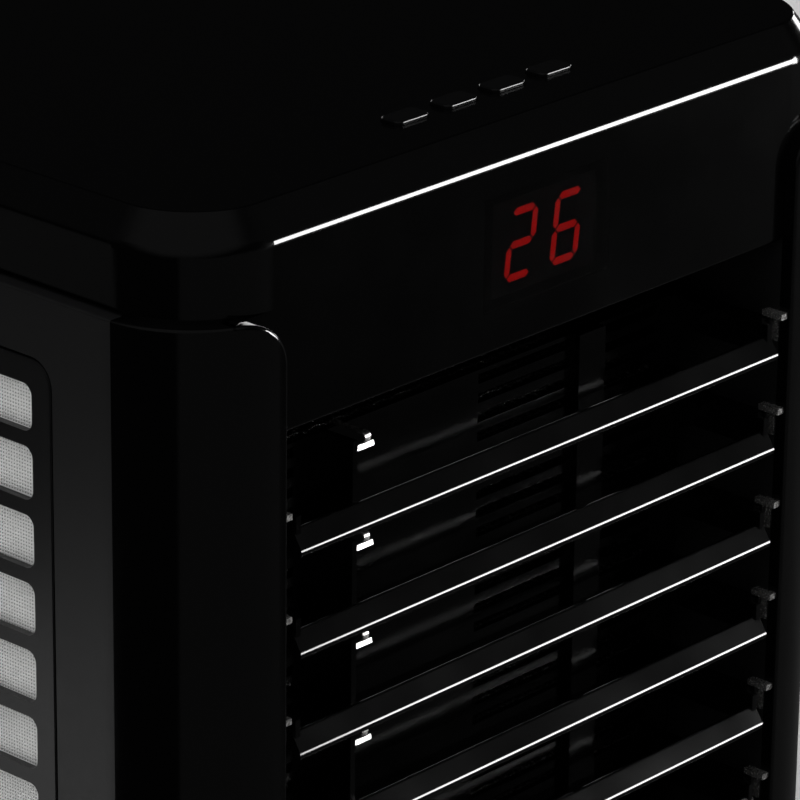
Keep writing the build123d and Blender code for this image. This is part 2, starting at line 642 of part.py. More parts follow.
def segment(name, x, grow, y0, y1):
    """One pointed segment of a seven-segment digit, slanted to the right."""
    w, h = DIGIT_W - SEGMENT, DIGIT_H - SEGMENT
    middle = DIGIT_TOP - DIGIT_H / 2
    across = name in "agd"
    length = (w if across else h / 2) - 1.0 + 2 * grow
    t = SEGMENT / 2 + grow
    outline = [(-length / 2, 0), (-length / 2 + t, t), (length / 2 - t, t),
               (length / 2, 0), (length / 2 - t, -t), (-length / 2 + t, -t)]
    du = {"b": w / 2, "c": w / 2, "e": -w / 2, "f": -w / 2}.get(name, 0)
    dv = {"a": h / 2, "d": -h / 2, "b": h / 4, "f": h / 4, "c": -h / 4, "e": -h / 4}.get(name, 0)
    lean = sin(radians(DIGIT_SLANT))
    points = []
    for u, v in outline:
        u, v = (u, v) if across else (v, u)
        u, v = u + du, v + dv
        points.append((x + u + v * lean, middle + v))
    face = make_face(Polyline(points, close=True))
    plane = Plane(origin=(0, y1, 0), x_dir=(1, 0, 0), z_dir=(0, -1, 0))
    return extrude(plane * face, y1 - y0)


def display_digits():
    """Lit segments, each a separate light pipe."""
    y0 = CAP_FRONT + WALL + 0.2
    return digit_segments(0, y0, y0 + 1.2)


def display_lens():
    """Smoked window, flush with the apron."""
    return window_box(LENS_W / 2 - 0.05, LENS_H / 2 - 0.05, CAP_FRONT, CAP_FRONT + WALL)


def button(x):
    """Push button with a stem that meets its switch."""
    cap = button_outline(x, 0, TOP_Z - WALL - 0.5, TOP_Z + BUTTON_PROUD)
    top = cap.faces().sort_by(Axis.Z)[-1]
    cap = fillet(top.edges(), 0.7)
    flange = extrude(Pos(x, BUTTON_Y, TOP_Z - WALL - 1.5) * RectangleRounded(
        BUTTON_W + 4, BUTTON_D + 4, 3), 1.2)
    return cap + flange + rod_z(2.2, switch_top() + 0.3, TOP_Z - WALL - 1, x, BUTTON_Y)


def switch_top():
    """Height of the tact switches under the buttons."""
    return TOP_Z - 16


def button_board():
    """Flat circuit board under the buttons, with its four switches."""
    z = switch_top() - 5
    board = block(-52, 52, BUTTON_Y - 9, BUTTON_Y + 14, z - 1.6, z)
    for x in BUTTON_X:
        board += block(x - 3, x + 3, BUTTON_Y - 3, BUTTON_Y + 3, z, z + 3.6)
        board += rod_z(1.7, z + 3, switch_top() - 1.5, x, BUTTON_Y)
    for x in (-46, 46):
        board += rod_z(3, z, TOP_Z - WALL, x, BUTTON_Y + 9)
    return board


def power_board():
    """Mains board over the chamber: transformer, relay, capacitor and terminals."""
    z = APRON_Z + 14
    board = block(-70, 40, 20, 100, z, z + 1.6)
    board += block(-60, -24, 34, 66, z + 1.6, z + 28)
    board += block(-10, 10, 30, 48, z + 1.6, z + 17)
    board += rod_z(8, z + 1, z + 22, 24, 80)
    for k in range(4):
        board += block(-60 + k * 11, -51 + k * 11, 84, 96, z + 1.6, z + 12)
    for x in (-64, 34):
        for y in (26, 94):
            board += rod_z(3, APRON_Z + 2.3, z + 0.5, x, y)
    return board


def ribbon_cable():
    """Flat cable from the mains board to the display board."""
    y0, y1 = CAP_FRONT + 16.6, 20.0
    z = APRON_Z + 14.8
    strip = block(-20, 0, y0 + 6, y1, z - 0.5, z + 0.5)
    strip += block(-20, 0, y0 + 6, y0 + 7, z - 0.5, RIM_Z - 40)
    strip += block(-20, 0, y0, y0 + 7, RIM_Z - 41, RIM_Z - 40)
    return strip


def power_inlet():
    """Mains inlet socket with three pins and a flange on the back."""
    flange = block(92, 129, BACK, BACK + 2, 53, 79)
    shell = block(97, 124, BACK - 22, BACK + 1, 56.5, 75.5)
    body = flange + shell - block(99.5, 121.5, BACK - 16, BACK + 3, 59, 73)
    for x in (104, 110.5, 117):
        body += block(x - 1, x + 1, BACK - 17, BACK - 2, 64, 68)
    return body


def rocker_switch_body():
    """Frame of the mains switch."""
    body = block(63, 86, BACK, BACK + 1.6, 57.5, 74.5) + block(65, 84, BACK - 18, BACK + 1, 59.4, 72.6)
    return body - block(66.5, 82.5, BACK - 8, BACK + 3, 61, 71)


def rocker_switch():
    """Rocker that tilts about a level axis in its frame."""
    outline = [(-6.5, 0.6), (0, -0.9), (6.5, SWITCH_PROUD), (6.5, -1.2),
               (2, -5.5), (-2, -5.5), (-6.5, -1.2)]
    plane = Plane(origin=(74.5, BACK, 61.6), x_dir=(1, 0, 0), z_dir=(0, 0, 1))
    return extrude(plane * make_face(Polyline(outline, close=True)), 8.8)


def case_screws():
    """Screws in the base and up into the cap, and through the back's flange."""
    screws = [foot_screw(x, y) for x, y in foot_places()]
    for x, y in cap_boss_places():
        shank = rod_z(1.5, LEDGE_Z - 5, LEDGE_Z + 13, x, y)
        screws.append(shank + rod_z(3.2, LEDGE_Z - 7, LEDGE_Z - 4.9, x, y))
    return screws


def export(name, shape):
    """Write one node; a list becomes a group of separate solids."""
    if isinstance(shape, (list, ShapeList)):
        shape = Compound(children=list(shape))
    export_step(shape, f"parts/{name}.step")


def main():
    os.makedirs("parts", exist_ok=True)
    single = {
        "top_cover": top_cover(), "front_frame": front_frame(), "rear_panel": rear_panel(),
        "base_pan": base_pan(), "feet": [foot(x, y) for x, y in foot_places()],
        "chamber_ceiling": chamber_ceiling(), "chamber_floor": chamber_floor(),
        "rear_baffle": rear_baffle(), "drip_tray": drip_tray(), "fan_shroud": fan_shroud(),
        "fan_impeller": fan_impeller(), "motor_shaft": motor_shaft(), "fan_motor": fan_motor(),
        "motor_bracket": motor_bracket(), "motor_screws": motor_screws(),
        "heater_frame": heater_frame(), "heater_coil": heater_coil(), "thermostat": thermostat(),
        "control_board": control_board(), "display_housing": display_housing(),
        "display_digits": display_digits(), "display_lens": display_lens(),
        "button_board": button_board(), "power_board": power_board(),
        "ribbon_cable": ribbon_cable(), "power_inlet": power_inlet(),
        "switch_frame": rocker_switch_body(), "rocker_switch": rocker_switch(),
        "case_screws": case_screws(),
    }
    for name, x in zip(("power", "timer", "minus", "plus"), BUTTON_X):
        single[f"button_{name}"] = button(x)
    for word, side in (("left", -1), ("right", 1)):
        single[f"side_panel_{word}"] = side_panel(side)
        single[f"side_grille_{word}"] = side_grille(side)
        single[f"air_filter_{word}"] = air_filter(side)
        single[f"chamber_liner_{word}"] = liner(side)
        single[f"tray_stops_{word}"] = [tray_stop(side, k) for k in range(TRAYS)]
    one_tray, one_mesh = tray(), tray_mesh()
    for k in range(TRAYS):
        single[f"tray_{k + 1}"] = Pos(0, 0, lip_z(k)) * one_tray
        single[f"tray_mesh_{k + 1}"] = Pos(0, 0, lip_z(k)) * one_mesh
    for name, shape in single.items():
        export(name, shape)


main()
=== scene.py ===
"""Looks, light and camera of the food dehydrator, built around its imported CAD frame.

Metres, +Z up, front towards -Y, as in the frame.
"""
import json
from math import cos, pi, radians, sin

import bmesh
import bpy
from mathutils import Matrix, Vector


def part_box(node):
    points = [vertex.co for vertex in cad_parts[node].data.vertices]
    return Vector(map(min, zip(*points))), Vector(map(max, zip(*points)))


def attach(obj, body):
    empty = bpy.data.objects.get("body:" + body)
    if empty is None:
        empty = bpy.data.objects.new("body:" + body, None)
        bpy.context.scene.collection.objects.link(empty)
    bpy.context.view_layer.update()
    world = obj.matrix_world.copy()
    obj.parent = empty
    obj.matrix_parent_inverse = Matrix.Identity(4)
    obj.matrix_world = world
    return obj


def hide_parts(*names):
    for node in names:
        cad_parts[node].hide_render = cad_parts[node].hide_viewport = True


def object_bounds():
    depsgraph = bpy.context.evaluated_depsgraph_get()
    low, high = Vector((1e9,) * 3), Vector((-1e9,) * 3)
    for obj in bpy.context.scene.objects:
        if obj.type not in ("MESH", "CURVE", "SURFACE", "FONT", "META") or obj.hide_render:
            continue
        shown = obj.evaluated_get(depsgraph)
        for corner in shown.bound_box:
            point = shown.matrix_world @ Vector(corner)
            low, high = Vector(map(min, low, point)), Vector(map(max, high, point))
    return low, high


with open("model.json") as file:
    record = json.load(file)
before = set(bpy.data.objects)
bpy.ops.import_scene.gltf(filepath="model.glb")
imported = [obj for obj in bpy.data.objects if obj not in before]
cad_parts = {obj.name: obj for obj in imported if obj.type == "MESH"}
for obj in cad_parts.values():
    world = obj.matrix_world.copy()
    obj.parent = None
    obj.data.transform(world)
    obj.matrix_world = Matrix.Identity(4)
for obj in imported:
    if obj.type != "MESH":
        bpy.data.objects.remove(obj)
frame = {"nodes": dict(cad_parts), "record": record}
cad_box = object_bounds()

MM = 0.001
X_AXIS, Y_AXIS, Z_AXIS = Vector((1, 0, 0)), Vector((0, 1, 0)), Vector((0, 0, 1))

CAMERA_HEADING, CAMERA_TILT, CAMERA_ROLL = 47.76, -21.58, 0.68
CAMERA_AIM_X, CAMERA_AIM_Z = -0.0764, 0.2832
CAMERA_DISTANCE, CAMERA_LENS = 1.6277, 226.3  # metres, and millimetres of focal length
FLOOR_RADIUS, BACKDROP_RADIUS = 14.0, 13.5

TRAYS = 6
HEM_WIDTH, HEM_THICK = 5 * MM, 1.2 * MM      # folded edge of a tray's screen
SCREEN_PITCH, SCREEN_WIRE = 5.5 * MM, 0.4 * MM
TAB_REACH = 16.3 * MM                        # from a lift tab's face back to the screen
TAB_X, TAB_WIDTH, TAB_DROP, TAB_HIGH = -59.35 * MM, 8.3 * MM, 5.3 * MM, 1.6 * MM
STRAP_X, STRAP_WIDTH, STRIP_THICK = -58.0 * MM, 3 * MM, 0.8 * MM

FILTER_FRAME, FILTER_THICK = 4 * MM, 3 * MM  # bars round a filter screen
FILTER_RADIUS = 6 * MM
NET_DEPTH, NET_THICK = 0.6 * MM, 0.5 * MM    # the net behind the face of its bars
NET_PITCH, NET_SLACK = 1.25 * MM, 0.35 * MM

COIL_RINGS = (30 * MM, 44 * MM, 58 * MM)
COIL_WIND, COIL_WIRE, COIL_PITCH = 1.55 * MM, 0.38 * MM, 2.6 * MM

RIBBON_PITCH = 1.27 * MM
DIGIT_GLOW = 0.58                            # radiance of the lit segments


# ---------------------------------------------------------------- camera, stage and light

def direction(azimuth, elevation):
    """Unit vector; azimuth runs from +Y towards +X and elevation up from the horizon, in degrees."""
    a, e = radians(azimuth), radians(elevation)
    return Vector((sin(a) * cos(e), cos(a) * cos(e), sin(e)))


def add_camera():
    """A long lens that looks down at the upper left front corner of the case."""
    aim = Vector((CAMERA_AIM_X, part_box("front_frame")[0].y, CAMERA_AIM_Z))
    forward = direction(CAMERA_HEADING, CAMERA_TILT)
    level = direction(CAMERA_HEADING + 90, 0)
    upright = level.cross(forward)
    turn = radians(CAMERA_ROLL)
    right = level * cos(turn) + upright * sin(turn)
    up = upright * cos(turn) - level * sin(turn)
    data = bpy.data.cameras.new("photo_camera")
    data.lens, data.sensor_width = CAMERA_LENS, 36.0
    data.clip_start, data.clip_end = 0.05, 100.0
    camera = bpy.data.objects.new("photo_camera", data)
    bpy.context.scene.collection.objects.link(camera)
    camera.matrix_world = Matrix.Translation(aim - forward * CAMERA_DISTANCE) @ Matrix(
        (right, up, -forward)).transposed().to_4x4()
    bpy.context.scene.camera = camera


def add_light(name, azimuth, elevation, distance, size, radiance, target=(0, 0, 0.2), diffuse=True):
    """A soft rectangular light that faces the object; radiance is what a mirror would show of it."""
    data = bpy.data.lights.new(name, "AREA")
    data.shape = "RECTANGLE"
    data.size, data.size_y = size
    data.energy = radiance * pi * size[0] * size[1]
    light = bpy.data.objects.new(name, data)
    bpy.context.scene.collection.objects.link(light)
    towards = direction(azimuth, elevation)
    light.location = Vector(target) + towards * distance
    light.rotation_mode = "QUATERNION"
    light.rotation_quaternion = towards.to_track_quat("Z", "Y")
    light.visible_camera = False
    light.visible_diffuse = diffuse
    return light


def add_lights():
    """Two soft lights for the matte surfaces, and low cards that only the glossy ones show."""
    for light in (add_light("overhead", 0, 82, 3.0, (3.4, 3.4), 2.6),
                  add_light("fill_left", -120, 40, 3.2, (2.2, 1.6), 1.85)):
        light.visible_glossy = False
        light.visible_transmission = False
    front = (0, -0.2, 0.3)
    middle = (0, 0, 0.3)
    beside_panel = (cad_box[0][0], -0.13, -0.13)
    add_light("edge_strip", 131, 2.2, 5.0, (1.55, 1.70), 24.0, front, diffuse=False)
    add_light("low_left", -48, 0, 0.44, (0.24, 0.30), 0.62, beside_panel, diffuse=False)
    add_light("edge_right", 85, 3, 3.0, (1.6, 0.4), 6.0, middle, diffuse=False)
    add_light("edge_back", 25, 6, 3.6, (1.4, 0.4), 4.0, middle, diffuse=False)


def add_stage():
    """Pale floor and a far backdrop; neither shows in the object's reflections."""
    floor = new_piece("floor", disc_mesh(FLOOR_RADIUS, 96), stage_material())
    floor.visible_glossy = False
    floor.visible_transmission = False
    floor.visible_shadow = False
    dome = new_piece("backdrop", dome_mesh(BACKDROP_RADIUS, 64, 24), backdrop_material())
    for ray in ("glossy", "diffuse", "transmission", "shadow"):
        setattr(dome, f"visible_{ray}", False)


def stage_material():
    """Matte pale floor with a faint mottle."""
    s = Surface("floor_paint", (0.78, 0.78, 0.775), 0.85, Specular_IOR_Level=0.0)
    s.vary_color((0.765, 0.765, 0.76), (0.795, 0.795, 0.79), s.noise(3.0, 3))
    return s.material


def backdrop_material():
    """Evenly bright paper behind everything."""
    s = Surface("backdrop_paper", (0, 0, 0), 1.0)
    s.set("Emission Color", (0.80, 0.80, 0.80, 1))
    s.set("Emission Strength", 1.0)
    s.set("Specular IOR Level", 0.0)
    return s.material


class Studio:
    """The dark surroundings, which only reflections see, as a sum of soft-edged patches of sky and floor."""

    def __init__(self):
        world = bpy.data.worlds.new("studio")
        bpy.context.scene.world = world
        world.use_nodes = True
        world.cycles.sampling_method = "NONE"
        self.nodes, self.links = world.node_tree.nodes, world.node_tree.links
        self.look = self.nodes.new("ShaderNodeTexCoord").outputs["Generated"]
        self.total = None

    def math(self, operation, a, b):
        node = self.nodes.new("ShaderNodeMath")
        node.operation = operation
        for socket, value in zip(node.inputs, (a, b)):
            if isinstance(value, (int, float)):
                socket.default_value = value
            else:
                self.links.new(value, socket)
        return node.outputs[0]

    def towards(self, vector):
        """Cosine between the way looked and a direction."""
        node = self.nodes.new("ShaderNodeVectorMath")
        node.operation = "DOT_PRODUCT"
        self.links.new(self.look, node.inputs[0])
        node.inputs[1].default_value = vector
        return node.outputs["Value"]

    def edge(self, value, low, high):
        """0 below low and 1 above high, smooth in between."""
        node = self.nodes.new("ShaderNodeMapRange")
        node.interpolation_type = "SMOOTHSTEP"
        node.inputs["From Min"].default_value = low
        node.inputs["From Max"].default_value = high
        self.links.new(value, node.inputs["Value"])
        return node.outputs[0]

    def add(self, value, radiance):
        """Adds a patch."""
        patch = self.math("MULTIPLY", value, radiance)
        self.total = patch if self.total is None else self.math("ADD", self.total, patch)

    def lobe(self, azimuth, elevation, inner, outer):
        """1 within inner degrees of a direction, 0 beyond outer."""
        near = self.towards(direction(azimuth, elevation))
        return self.edge(near, cos(radians(outer)), cos(radians(inner)))

    def sector(self, azimuth_from, azimuth_to, soft=2.0):
        """1 between two headings under 180 degrees apart, going clockwise seen from above."""
        blur = sin(radians(soft))
        start = self.edge(self.towards(direction(azimuth_from + 90, 0)), -blur, blur)
        stop = self.edge(self.towards(direction(azimuth_to - 90, 0)), -blur, blur)
        return self.math("MULTIPLY", start, stop)

    def finish(self):
        self.links.new(self.total, self.nodes["Background"].inputs["Strength"])
        self.nodes["Background"].inputs["Color"].default_value = (1, 1, 1, 1)


def add_world():
    """Dim glow from below, with one dark side and a hollow, and soft high patches for the cap's bevels."""
    studio = Studio()
    below = studio.edge(studio.towards((0, 0, -1)), -0.05, 0.12)
    lit_side = studio.math("SUBTRACT", 1.0, studio.sector(-121, -50))
    hollow = studio.math("MULTIPLY", studio.lobe(135, -20, 2.5, 8.5), 0.8)
    round_hollow = studio.math("SUBTRACT", 1.0, hollow)
    glow = studio.math("MULTIPLY", studio.math("MULTIPLY", below, lit_side), round_hollow)
    studio.add(glow, 0.042)
    studio.add(studio.lobe(126, 32, 8, 26), 0.028)       # front bevel
    studio.add(studio.lobe(-37, 32, 8, 26), 0.018)       # left bevel
    studio.add(studio.lobe(-125, 52, 35, 62), 0.085)     # round corner between them
    studio.add(studio.lobe(0, 90, 150, 180), 0.006)      # everywhere but straight down
    studio.finish()


# ---------------------------------------------------------------- meshes

def new_piece(name, mesh, material):
    """An object at the origin with one material."""
    mesh.materials.clear()
    mesh.materials.append(material)
    piece = bpy.data.objects.new(name, mesh)
    bpy.context.scene.collection.objects.link(piece)
    return piece


def mesh_from(name, vertices, faces, smooth=False):
    """A mesh with clean normals."""
    mesh = bpy.data.meshes.new(name)
    mesh.from_pydata(vertices, [], faces)
    mesh.validate()
    if smooth:
        mesh.polygons.foreach_set("use_smooth", [True] * len(mesh.polygons))
    mesh.update()
    return mesh


def circle(radius, sides):
    """Points round a circle, as pairs."""
    return [(radius * cos(2 * pi * k / sides), radius * sin(2 * pi * k / sides)) for k in range(sides)]


def disc_mesh(radius, sides):
    """A flat disc at height 0."""
    return mesh_from("disc", [(x, y, 0.0) for x, y in circle(radius, sides)], [tuple(range(sides))])


def dome_mesh(radius, around, up):
    """Half a sphere, seen from inside."""
    vertices = [tuple(radius * direction(360 * a / around, 90 * e / up))
                for e in range(up) for a in range(around)]
    faces = [(e * around + a, e * around + (a + 1) % around, (e + 1) * around + (a + 1) % around,
              (e + 1) * around + a) for e in range(up - 1) for a in range(around)]
    top = (up - 1) * around
    faces.append(tuple(top + a for a in range(around)))
    return mesh_from("dome", vertices, faces, smooth=True)


class Builder:
    """Collects swept skins into one mesh."""

    def __init__(self):
        self.vertices, self.faces = [], []

    def sweep(self, rings, closed=False):
        """Joins rings of points, with flat ends unless the last ring meets the first."""
        start, size, count = len(self.vertices), len(rings[0]), len(rings)
        for ring in rings:
            self.vertices += [tuple(point) for point in ring]
        for k in range(count if closed else count - 1):
            a, b = start + k * size, start + (k + 1) % count * size
            self.faces += [(a + i, a + (i + 1) % size, b + (i + 1) % size, b + i) for i in range(size)]
        if not closed:
            last = start + (count - 1) * size
            self.faces += [tuple(range(start + size - 1, start - 1, -1)), tuple(range(last, last + size))]

    def mesh(self, name):
        """The mesh, smooth but for its sharp edges, with outward normals."""
        mesh = mesh_from(name, self.vertices, self.faces, smooth=True)
        work = bmesh.new()
        work.from_mesh(mesh)
        bmesh.ops.recalc_face_normals(work, faces=work.faces)
        work.to_mesh(mesh)
        work.free()
        mesh.set_sharp_from_angle(angle=radians(40))
        return mesh


def soft_bar(width, thick, ease):
    """Outline of a flat bar with eased edges, as pairs round its middle."""
    w, t = width / 2, thick / 2
    return [(w, t - ease), (w - ease, t), (ease - w, t), (-w, t - ease),
            (-w, ease - t), (ease - w, -t), (w - ease, -t), (w, ease - t)]


def eased(corners, radius, steps=5):
    """A path through corner points, with each inner corner rounded."""
    path = [corners[0]]
    for before, corner, after in zip(corners, corners[1:], corners[2:]):
        start = corner + (before - corner).normalized() * radius
        end = corner + (after - corner).normalized() * radius
        for k in range(steps + 1):
            t = k / steps
            path.append(start * (1 - t) ** 2 + corner * 2 * t * (1 - t) + end * t ** 2)
    path.append(corners[-1])
    return path


def spaced(start, stop, pitch):
    """Evenly spaced places between two ends, near the given pitch, without the ends."""
    gaps = max(2, round((stop - start) / pitch))
    return [start + (stop - start) * k / gaps for k in range(1, gaps)]


# ---------------------------------------------------------------- tray screens

def crimped_wire(builder, origin, along, across, places, phase):
    """One wire of a weave, which rises and dips at each crossing."""
    rings = []
    for k, place in enumerate(places):
        rise = SCREEN_WIRE if (k + phase) % 2 else -SCREEN_WIRE
        middle = origin + along * place + Z_AXIS * rise
        rings.append([middle + across * u + Z_AXIS * v for u, v in circle(SCREEN_WIRE, 5)])
    builder.sweep(rings)


def plain_weave(builder, low, high, z):
    """Crimped wires both ways between two corners."""
    columns = [low.x] + spaced(low.x, high.x, SCREEN_PITCH) + [high.x]
    rows = [low.y] + spaced(low.y, high.y, SCREEN_PITCH) + [high.y]
    for j, y in enumerate(rows[1:-1]):
        crimped_wire(builder, Vector((0, y, z)), X_AXIS, Y_AXIS, columns, j)
    for i, x in enumerate(columns[1:-1]):
        crimped_wire(builder, Vector((x, 0, z)), Y_AXIS, X_AXIS, rows, i + 1)


def folded_hem(builder, low, high, z):
    """A mitred flat frame round the weave."""
    inset = HEM_WIDTH / 2
    profile = soft_bar(HEM_WIDTH, HEM_THICK, 0.3 * MM)
    rings = []
    for sx, sy in ((1, 1), (-1, 1), (-1, -1), (1, -1)):
        x = (high.x if sx > 0 else low.x) - sx * inset
        y = (high.y if sy > 0 else low.y) - sy * inset
        rings.append([Vector((x + sx * u, y + sy * u, z + v)) for u, v in profile])
    builder.sweep(rings, closed=True)


def bent_strip(builder, path, x, width):
    """A flat metal strip that follows a path in the YZ plane."""
    profile = soft_bar(width, STRIP_THICK, 0.15 * MM)
    rings = []
    for k, here in enumerate(path):
        along = (path[min(k + 1, len(path) - 1)] - path[max(k - 1, 0)]).normalized()
        outward = Vector((0, -along.z, along.y))
        rings.append([here + X_AXIS * (x + u) + outward * v for u, v in profile])
    builder.sweep(rings)


def tray_screen_mesh():
    """Woven steel screen with its hem and lift tab, where the first tray has it."""
    low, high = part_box("tray_mesh_1")
    front = low.y + TAB_REACH
    z = low.z + HEM_THICK / 2
    outer_low, outer_high = Vector((low.x, front, z)), Vector((high.x, high.y, z))
    margin = Vector((HEM_WIDTH * 0.7, HEM_WIDTH * 0.7, 0))
    builder = Builder()
    folded_hem(builder, outer_low, outer_high, z)
    plain_weave(builder, outer_low + margin, outer_high - margin, z)
    half = STRIP_THICK / 2
    foot = Vector((0, front + half, z))
    bend = Vector((0, front + half, high.z - half))
    fold = Vector((0, low.y + 2 * half, high.z - half))
    lowest = Vector((0, low.y + half, high.z - TAB_DROP + 0.1 * MM))
    grip = Vector((0, fold.y, lowest.z + TAB_HIGH))
    bent_strip(builder, eased([foot, bend, fold, grip], 1.5 * MM), STRAP_X, STRAP_WIDTH)
    bent_strip(builder, [grip, lowest], TAB_X, TAB_WIDTH)
    return builder.mesh("tray_screen")


def add_tray_screens(material):
    """One screen in each tray, all of the same mesh."""
    mesh = tray_screen_mesh()
    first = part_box("tray_mesh_1")[0].z
    for k in range(1, TRAYS + 1):
        screen = new_piece(f"tray_screen_{k}", mesh, material)
        screen.location.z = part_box(f"tray_mesh_{k}")[0].z - first
        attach(screen, f"tray_unit_{k}")
        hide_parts(f"tray_mesh_{k}")


# ---------------------------------------------------------------- air filters

def round_outline(low, high, radius, steps=7):
    """Points round a rectangle with round corners in the YZ plane, each with its outward direction."""
    centres = ((high.y - radius, high.z - radius), (low.y + radius, high.z - radius),
               (low.y + radius, low.z + radius), (high.y - radius, low.z + radius))
    outline = []
    for quarter, (y, z) in enumerate(centres):
        for k in range(steps + 1):
            angle = pi / 2 * (quarter + k / steps)
            outward = Vector((0, cos(angle), sin(angle)))
            outline.append((Vector((0, y, z)) + outward * radius, outward))
    return outline


def filter_frame_mesh(low, high):
    """Thin moulded bars round the net, with eased edges."""
    builder = Builder()
    x = (low.x + high.x) / 2
    inset = FILTER_FRAME / 2
    profile = soft_bar(FILTER_FRAME, FILTER_THICK, 0.5 * MM)
    margin = Vector((0, inset, inset))
    path = round_outline(low + margin, high - margin, FILTER_RADIUS)
    rings = [[point + X_AXIS * (x + v) + out * u for u, v in profile] for point, out in path]
    builder.sweep(rings, closed=True)
    return builder.mesh("filter_frame")


def net_mesh(low, high, outward):
    """The stretched net, slightly slack between its bars."""
    rows = columns = 60
    face = (high.x if outward > 0 else low.x) - outward * NET_DEPTH
    margin = FILTER_FRAME * 0.7
    y0, y1, z0, z1 = low.y + margin, high.y - margin, low.z + margin, high.z - margin
    rings = []
    for j in range(rows + 1):
        front, back = [], []
        for i in range(columns + 1):
            u, v = i / columns, j / rows
            ripple = 1 + 0.5 * sin(9 * u + 4 * v) * sin(7 * v)
            slack = NET_SLACK * sin(pi * u) * sin(pi * v) * ripple
            x = face - outward * slack
            y, z = y0 + (y1 - y0) * u, z0 + (z1 - z0) * v
            front.append((x, y, z))
            back.append((x - outward * NET_THICK, y, z))
        rings.append(front + back[::-1])
    builder = Builder()
    builder.sweep(rings)
    return builder.mesh("filter_net")


def add_filters(frame_material, net_material):
    """A framed net behind each side grille."""
    for side, outward in (("left", -1), ("right", 1)):
        low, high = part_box(f"air_filter_{side}")
        pieces = (new_piece(f"filter_frame_{side}", filter_frame_mesh(low, high), frame_material),
                  new_piece(f"filter_net_{side}", net_mesh(low, high, outward), net_material))
        for piece in pieces:
            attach(piece, f"grille_{side}")
            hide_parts(f"air_filter_{side}")


# ---------------------------------------------------------------- heater winding

def add_heater_winding(material):
    """Resistance wire wound in a helix round each ring of the heater."""
    low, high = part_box("heater_coil")
    middle = (low + high) / 2
    builder = Builder()
    for radius in COIL_RINGS:
        turns = round(2 * pi * radius / COIL_PITCH)
        steps = turns * 10
        rings = []
        for k in range(steps):
            way = 2 * pi * k / steps
            wind = turns * way
            out = Vector((cos(way), 0, sin(way)))
            around = Vector((-sin(way), 0, cos(way)))
            spoke = out * cos(wind) + Y_AXIS * sin(wind)
            turning = Y_AXIS * cos(wind) - out * sin(wind)
            along = around * (radius + COIL_WIND * cos(wind)) + turning * COIL_WIND * turns
            along.normalize()
            across = along.cross(spoke)
            centre = middle + out * radius + spoke * COIL_WIND
            rings.append([centre + spoke * u + across * v for u, v in circle(COIL_WIRE, 5)])
        builder.sweep(rings, closed=True)
    winding = new_piece("heater_winding", builder.mesh("heater_winding"), material)
    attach(winding, "case")
    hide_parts("heater_coil")


# ---------------------------------------------------------------- materials

class Surface:
    """A Principled material, with short calls for the nodes that drive it."""

    def __init__(self, name, color, roughness, **sockets):
        self.material = bpy.data.materials.new(name)
        self.material.use_nodes = True
        self.nodes = self.material.node_tree.nodes
        self.links = self.material.node_tree.links
        self.shader = self.nodes["Principled BSDF"]
        self.set("Base Color", (*color, 1))
        self.set("Roughness", roughness)
        for socket, value in sockets.items():
            self.set(socket.replace("_", " "), value)
        self.place = self.nodes.new("ShaderNodeTexCoord").outputs["Object"]
        self.relief = None

    def set(self, socket, value):
        self.shader.inputs[socket].default_value = value

    def stretched(self, scale):
        """Object coordinates scaled along each axis."""
        node = self.nodes.new("ShaderNodeMapping")
        node.inputs["Scale"].default_value = scale
        self.links.new(self.place, node.inputs["Vector"])
        return node.outputs[0]

    def noise(self, scale, detail=2.0, roughness=0.5, place=None):
        """Noise from 0 to 1; scale is in repeats per metre."""
        node = self.nodes.new("ShaderNodeTexNoise")
        node.inputs["Scale"].default_value = scale
        node.inputs["Detail"].default_value = detail
        node.inputs["Roughness"].default_value = roughness
        self.links.new(place or self.place, node.inputs["Vector"])
        return node.outputs["Fac"]

    def cells(self, scale, place=None, feature="F1"):
        """Distance to scattered points, in cell widths."""
        node = self.nodes.new("ShaderNodeTexVoronoi")
        node.feature = feature
        node.inputs["Scale"].default_value = scale
        self.links.new(place or self.place, node.inputs["Vector"])
        return node.outputs["Distance"]

    def spread(self, value, from_low, from_high, low, high):
        """Value mapped from one range to another, and held inside it."""
        node = self.nodes.new("ShaderNodeMapRange")
        ends = {"From Min": from_low, "From Max": from_high, "To Min": low, "To Max": high}
        for socket, number in ends.items():
            node.inputs[socket].default_value = number
        self.links.new(value, node.inputs["Value"])
        return node.outputs[0]

    def math(self, operation, a, b):
        """A math node; a and b are links or numbers."""
        node = self.nodes.new("ShaderNodeMath")
        node.operation = operation
        for socket, value in zip(node.inputs, (a, b)):
            if isinstance(value, (int, float)):
                socket.default_value = value
            else:
                self.links.new(value, socket)
        return node.outputs[0]

    def vary_color(self, low, high, fac):
        """Base colour between two colours."""
        node = self.nodes.new("ShaderNodeMix")
        node.data_type = "RGBA"
        color_a, color_b = [i for i in node.inputs if i.type == "RGBA"]
        color_a.default_value, color_b.default_value = (*low, 1), (*high, 1)
        self.links.new(fac, node.inputs["Factor"])
        self.links.new(next(o for o in node.outputs if o.type == "RGBA"), self.shader.inputs["Base Color"])

    def vary_roughness(self, low, high, fac, from_low=0.3, from_high=0.7):
        """Roughness between two values."""
        self.links.new(self.spread(fac, from_low, from_high, low, high), self.shader.inputs["Roughness"])

    def bump(self, height, depth, strength=1.0):
        """Relief of the given depth in metres; further calls add to it."""
        node = self.nodes.new("ShaderNodeBump")
        node.inputs["Strength"].default_value = strength
        node.inputs["Distance"].default_value = depth
        self.links.new(height, node.inputs["Height"])
        if self.relief:
            self.links.new(self.relief, node.inputs["Normal"])
        self.relief = node.outputs[0]
        self.links.new(self.relief, self.shader.inputs["Normal"])


